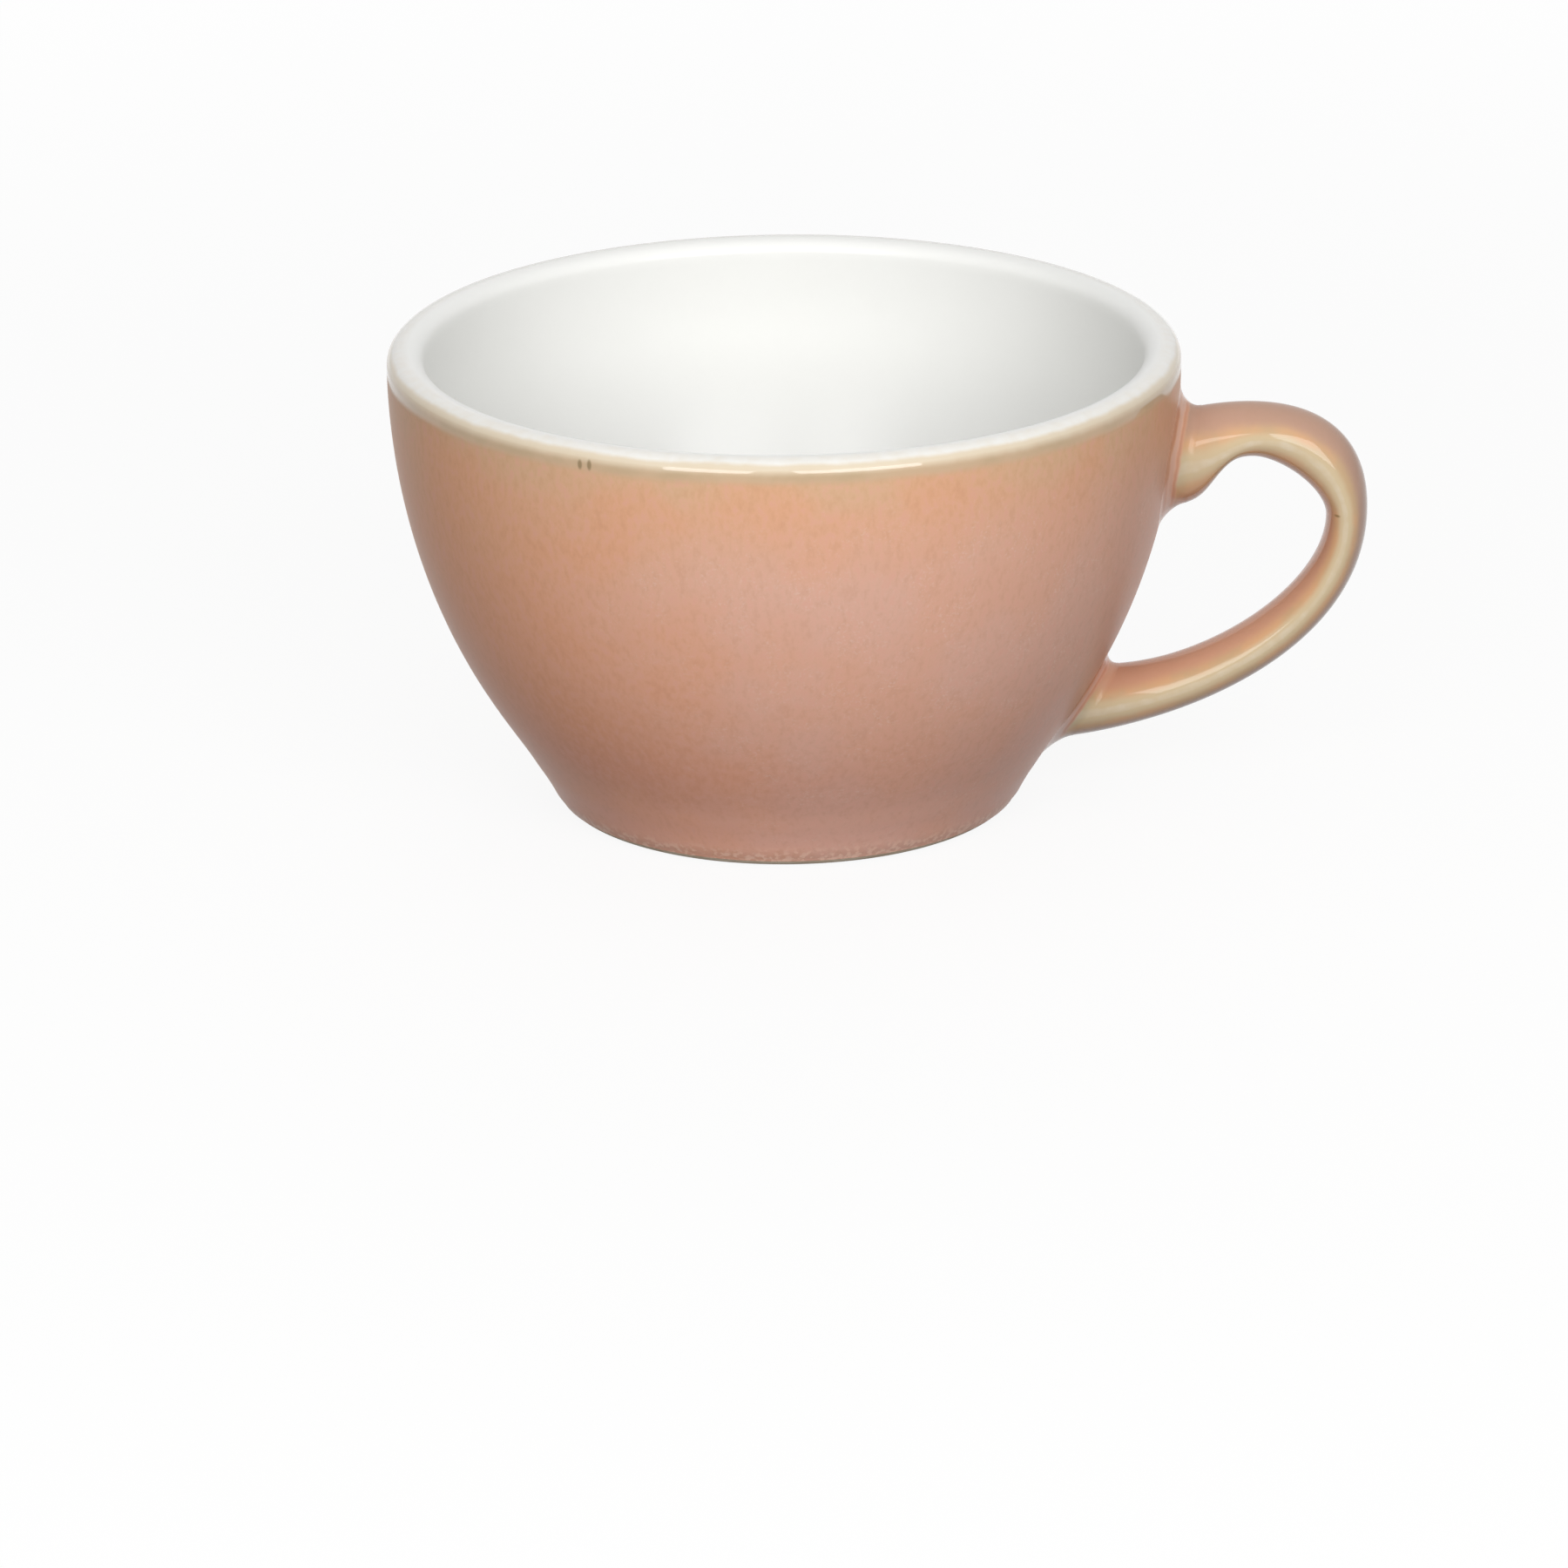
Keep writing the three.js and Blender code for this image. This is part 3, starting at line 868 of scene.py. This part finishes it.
def earColor(tree, spot, rose):
    outer = put(tree, "Attribute", attribute_name="outerShare").outputs["Fac"]
    # thick on the outer and the inner face, thin along the sides
    waver = sway(tree, noise(tree, spot, *earGlaze["waverNoise"]), earGlaze["waver"])
    cover = calc(tree, "ADD", calc(tree, "ABSOLUTE", outer), waver)
    thin = calc(tree, "MULTIPLY", ease(tree, cover, *earGlaze["thinAt"]), earGlaze["thinnest"])
    thick = blend(tree, ease(tree, outer, *earGlaze["outerAt"]), earGlaze["inner"], earGlaze["outer"])
    thick = blend(tree, earGlaze["thick"], rose, thick)
    color = place(tree, breakColors, {"Place": spot, "Thin": thin, "Rose": thick,
                                      "Tan": earGlaze["tan"], "Cream": earGlaze["cream"]})
    return color["Color"]


def handleMaterial():
    material, tree, shader = newMaterial("handleRoseGlaze")
    spot = cupPlace(tree)
    rose = place(tree, roses, {"Place": spot, "Haze": earGlaze["haze"]})
    color = earColor(tree, spot, rose["Color"])
    tree.links.new(addSpecks(tree, spot, color, specks["handle"]), shader["Base Color"])
    setSurface(tree, shader, spot, rose["Fine"], earGlaze)
    return material


slipGlaze = {
    # each ring with its colour, its share and where it begins, is full, fades and ends on the way
    # from the bowl to the handle
    # glaze pooled in the crease at the bowl, darkened further as painted crease shade
    "poolAndCreaseShade": rgb(190, 128, 100),
    "poolAndCreaseShadeShare": 0.6,
    "poolAndCreaseShadeBand": (0.02, 0.18, 0.23, 0.35),
    # pale ridge of slip glaze, lightened further as a painted sheen
    "ridgeAndSheen": rgb(214, 177, 161),
    "ridgeAndSheenShare": 0.6,
    "ridgeAndSheenBand": (0.26, 0.36, 0.44, 0.53),
    # dark line at the fine step onto the handle: glaze gathered there, darkened further as painted crease
    # shade
    "stepPoolAndShade": rgb(196, 138, 110),
    "stepPoolAndShadeShare": 0.65,
    "stepPoolAndShadeBand": (0.46, 0.54, 0.54, 0.64),
    "earAt": (0.54, 0.68),          # the handle's own colour takes over
    "waverNoise": (0.3, 2.0),
    "waver": 0.1,
    "haze": 0.5,
    "roughness": (0.14, 0.2),
    "ior": 1.3,
    "ripple": 0.2,
    "grain": 0.08,
}


def collarMaterial():
    material, tree, shader = newMaterial("slipCollarGlaze")
    spot = cupPlace(tree)
    rose = place(tree, roses, {"Place": spot, "Haze": slipGlaze["haze"]})
    waver = sway(tree, noise(tree, spot, *slipGlaze["waverNoise"]), slipGlaze["waver"])
    share = put(tree, "Attribute", attribute_name="collarShare").outputs["Fac"]
    share = calc(tree, "ADD", share, waver)

    def addRing(color, name):
        mask = band(tree, share, *slipGlaze[name + "Band"])
        return tint(tree, color, slipGlaze[name], mask, slipGlaze[name + "Share"])

    # rings of the collar: pooled glaze with painted crease shade at the bowl, a painted sheen on the ridge
    # and painted crease shade at the step
    color = addRing(rose["Color"], "poolAndCreaseShade")
    # painted sheen on the ridge, over the pale slip glaze
    color = addRing(color, "ridgeAndSheen")
    onEar = ease(tree, share, *slipGlaze["earAt"])
    color = blend(tree, onEar, color, earColor(tree, spot, rose["Color"]))
    # painted crease shade at the step onto the handle, over the glaze gathered there
    tree.links.new(addRing(color, "stepPoolAndShade"), shader["Base Color"])
    setSurface(tree, shader, spot, rose["Fine"], slipGlaze)
    return material


baseGlaze = {
    "haze": 0.3,
    "roughness": (0.12, 0.22),
    "ior": 1.5,
    "ripple": 0.3,
    "grain": 0.12,
}


def baseMaterial():
    material, tree, shader = newMaterial("baseRoseGlaze")
    spot = cupPlace(tree)
    rose = place(tree, roses, {"Place": spot, "Haze": baseGlaze["haze"]})
    tree.links.new(rose["Color"], shader["Base Color"])
    setSurface(tree, shader, spot, rose["Fine"], baseGlaze)
    return material


bareClay = {
    "pale": rgb(222, 206, 184),
    "buff": rgb(208, 188, 164),     # in clouds
    "cloudNoise": (0.25, 3.0),
    "buffAt": (0.35, 0.7),
    "dark": rgb(150, 118, 92),      # in single grains
    "grainNoise": (3.5, 4.0, 0.65),
    "darkAt": (0.6, 0.78),
    "darkShare": 0.5,
    "roughness": (0.75, 0.95),
    "bump": 0.5,
    "bumpDepth": 0.1 * mm,
}


def stonewareMaterial():
    material, tree, shader = newMaterial("bareStoneware")
    spot = cupPlace(tree)
    grain = noise(tree, spot, *bareClay["grainNoise"])
    cloud = noise(tree, spot, *bareClay["cloudNoise"])
    color = blend(tree, ease(tree, cloud, *bareClay["buffAt"]), bareClay["pale"], bareClay["buff"])
    grains = ease(tree, grain, *bareClay["darkAt"])
    color = tint(tree, color, bareClay["dark"], grains, bareClay["darkShare"])
    tree.links.new(color, shader["Base Color"])
    tree.links.new(remap(tree, grain, *noiseSpan, *bareClay["roughness"]), shader["Roughness"])
    bump = put(tree, "Bump", {"Strength": bareClay["bump"], "Distance": bareClay["bumpDepth"],
                              "Height": grain})
    tree.links.new(bump.outputs[0], shader["Normal"])
    return material


# The pieces

bodyMesh = spinMesh("stoneware_body", clay)
addPiece("stoneware_body", bodyMesh, stonewareMaterial(), "stoneware", "cup_body")

coatEdge = clay[coatStart, 1]
taper = smoothStep(clay[:, 1], coatEdge, coatEdge + cup["coatTaper"])
taper = cup["coatEdgeShare"] + (1 - cup["coatEdgeShare"]) * taper
bowlLoop = coatLoop(coatStart, seamAt, cup["coatBed"] + (glaze - cup["coatBed"]) * taper)
bowlMesh = spinMesh("bowl_rose_glaze", bowlLoop, closed=True)
addPiece("bowl_rose_glaze", bowlMesh, bowlMaterial(), "rose_glaze", "outer_glaze")

linerMesh = spinMesh("white_liner", coatLoop(seamAt, len(clay) - 1, glaze))
addPiece("white_liner", linerMesh, linerMaterial(), "white_glaze", "liner_glaze")

baseMesh = spinMesh("base_rose_glaze", coatLoop(0, recessEnd - 1, glaze))
addPiece("base_rose_glaze", baseMesh, baseMaterial(), "rose_glaze", "base_glaze")

rings = earRings()
earMesh = loftMesh("ear_handle", rings, False)
storeShare(earMesh, "outerShare", np.tile(thickShare, (len(rings), 1)))
addPiece("ear_handle", earMesh, handleMaterial(), "rose_glaze", "handle", "handle_glaze")

slipLook = collarMaterial()
upperRoot = rings[:collar["reach"]]
lowerRoot = rings[:-collar["reach"] - 1:-1]
for collarName, nodeName, root in (("upper_slip_collar", "upper_slip_joint", upperRoot),
                                   ("lower_slip_collar", "lower_slip_joint", lowerRoot)):
    loops, shares = collarRings(root.swapaxes(0, 1))
    collarMesh = loftMesh(collarName, loops, True)
    storeShare(collarMesh, "collarShare", shares)
    storeShare(collarMesh, "outerShare", np.tile(thickShare, (len(loops), 1)))
    addPiece(collarName, collarMesh, slipLook, "slip", nodeName)


# Floor, light and camera

studio = {
    "floorRadius": 4.0,             # metres here, as for all of the studio
    "floorSegments": 128,
    "floorColor": rgb(244, 244, 243),
    "bounceColor": rgb(112, 112, 111),      # what the floor throws back on the cup
    "nearWhite": 0.9,               # share of plain white close to the cup, the rest shows its shadow
    "fadeAt": (0.16, 0.55),         # from the origin, over which the floor goes to plain white
    "backdrop": 0.8,                # pale grey that the far floor and the room fall off to
    "fallAt": (0.8, 3.5),
    "frontAmbient": 0.03,           # soft room light, with more of it from straight behind and from above
    "backAmbient": 3.0,
    "backFrom": 0.7,                # share of straight behind where it begins
    "overhead": 0.62,
    "overheadFrom": 0.35,
    "panelElevation": 24.5,         # degrees
    "panelDistance": 1.3,
    "panelHeight": 0.7,
    # name, azimuth in degrees, width and power in watts
    "panels": [("leftPanel", -18, 0.55, 6.9), ("rightPanel", 25, 0.8, 10.5)],
}


def seenRays(tree):
    # 1 for rays that show the background: from the camera, in gloss and through glass
    rays = put(tree, "LightPath").outputs
    seen = calc(tree, "MAXIMUM", rays["Is Camera Ray"], rays["Is Glossy Ray"])
    return calc(tree, "MAXIMUM", seen, rays["Is Transmission Ray"])


def floorMaterial():
    material = bpy.data.materials.new("paleFloor")
    material.use_nodes = True
    tree = material.node_tree
    tree.nodes.clear()
    away = vectorCalc(tree, "LENGTH", put(tree, "TexCoord").outputs["Object"])
    far = ease(tree, away, *studio["fadeAt"])
    white = calc(tree, "MULTIPLY_ADD", far, 1 - studio["nearWhite"], studio["nearWhite"])
    seen = seenRays(tree)
    color = blend(tree, seen, studio["bounceColor"], studio["floorColor"])
    matt = put(tree, "BsdfDiffuse", {"Color": color})
    fall = remap(tree, away, *studio["fallAt"], 1.0, studio["backdrop"], interpolation_type="SMOOTHSTEP")
    glow = put(tree, "Emission", {"Strength": fall})
    share = calc(tree, "MULTIPLY", white, seen)
    mixed = put(tree, "MixShader", {0: share, 1: matt.outputs[0], 2: glow.outputs[0]})
    output = put(tree, "OutputMaterial")
    tree.links.new(mixed.outputs[0], output.inputs["Surface"])
    return material


def addFloor():
    bm = bmesh.new()
    bmesh.ops.create_circle(bm, cap_ends=True, radius=studio["floorRadius"],
                            segments=studio["floorSegments"])
    mesh = bpy.data.meshes.new("floor")
    bm.to_mesh(mesh)
    bm.free()
    mesh.materials.append(floorMaterial())
    floor = bpy.data.objects.new("floor", mesh)
    bpy.context.scene.collection.objects.link(floor)


def addWorld():
    world = bpy.data.worlds.new("studioWorld")
    world.use_nodes = True
    tree = world.node_tree
    tree.nodes.clear()
    axes = put(tree, "SeparateXYZ", {0: put(tree, "TexCoord").outputs["Generated"]}).outputs
    behind = ease(tree, axes["Y"], studio["backFrom"], 1.0)
    above = ease(tree, axes["Z"], studio["overheadFrom"], 1.0)
    level = calc(tree, "MULTIPLY_ADD", behind, studio["backAmbient"], studio["frontAmbient"])
    level = calc(tree, "MULTIPLY_ADD", above, studio["overhead"], level)
    ambient = put(tree, "Background", {"Color": (1, 1, 1, 1), "Strength": level})
    backdrop = put(tree, "Background", {"Color": (1, 1, 1, 1), "Strength": studio["backdrop"]})
    mixed = put(tree, "MixShader", {0: seenRays(tree), 1: ambient.outputs[0], 2: backdrop.outputs[0]})
    output = put(tree, "OutputWorld")
    tree.links.new(mixed.outputs[0], output.inputs["Surface"])
    bpy.context.scene.world = world


def direction(azimuth, elevation):
    # azimuth 0 is straight in front of the cup's near side, turning towards the handle
    turn = math.radians(azimuth)
    rise = math.radians(elevation)
    return Vector((math.sin(turn) * math.cos(rise), -math.cos(turn) * math.cos(rise), math.sin(rise)))


def addPanels():
    for name, azimuth, width, power in studio["panels"]:
        lamp = bpy.data.lights.new(name, "AREA")
        lamp.shape = "RECTANGLE"
        lamp.size = width
        lamp.size_y = studio["panelHeight"]
        lamp.energy = power
        panel = bpy.data.objects.new(name, lamp)
        towards = direction(azimuth, studio["panelElevation"])
        panel.location = Vector((axisX, 0, rimHeight / 2)) + towards * studio["panelDistance"]
        panel.rotation_euler = towards.to_track_quat("Z", "Y").to_euler()
        bpy.context.scene.collection.objects.link(panel)


view = {
    "azimuth": 4.0,                 # degrees, as for the panels
    "elevation": 19.6,
    "roll": 0.58,
    "distance": 1223.4 * mm,
    "aimHeight": 0.8 * mm,
    "aimSide": -0.53 * mm,          # to the right of the cup's axis
    "lens": 217.4,
    "sensor": 36.0,
}


def addCamera():
    data = bpy.data.cameras.new("photoView")
    data.lens = view["lens"]
    data.sensor_width = view["sensor"]
    camera = bpy.data.objects.new("photoView", data)
    back = direction(view["azimuth"], view["elevation"])
    right = direction(view["azimuth"] + 90, 0)
    aim = Vector((axisX, 0, view["aimHeight"])) + right * view["aimSide"]
    turned = back.to_track_quat("Z", "Y").to_matrix().to_4x4()
    rolled = turned @ Matrix.Rotation(math.radians(-view["roll"]), 4, "Z")
    camera.matrix_world = Matrix.Translation(aim + back * view["distance"]) @ rolled
    bpy.context.scene.collection.objects.link(camera)
    bpy.context.scene.camera = camera


addFloor()
addWorld()
addPanels()
addCamera()
bpy.context.scene.view_settings.view_transform = "Standard"
print("studio: floor, world,", len(studio["panels"]), "panels and camera")
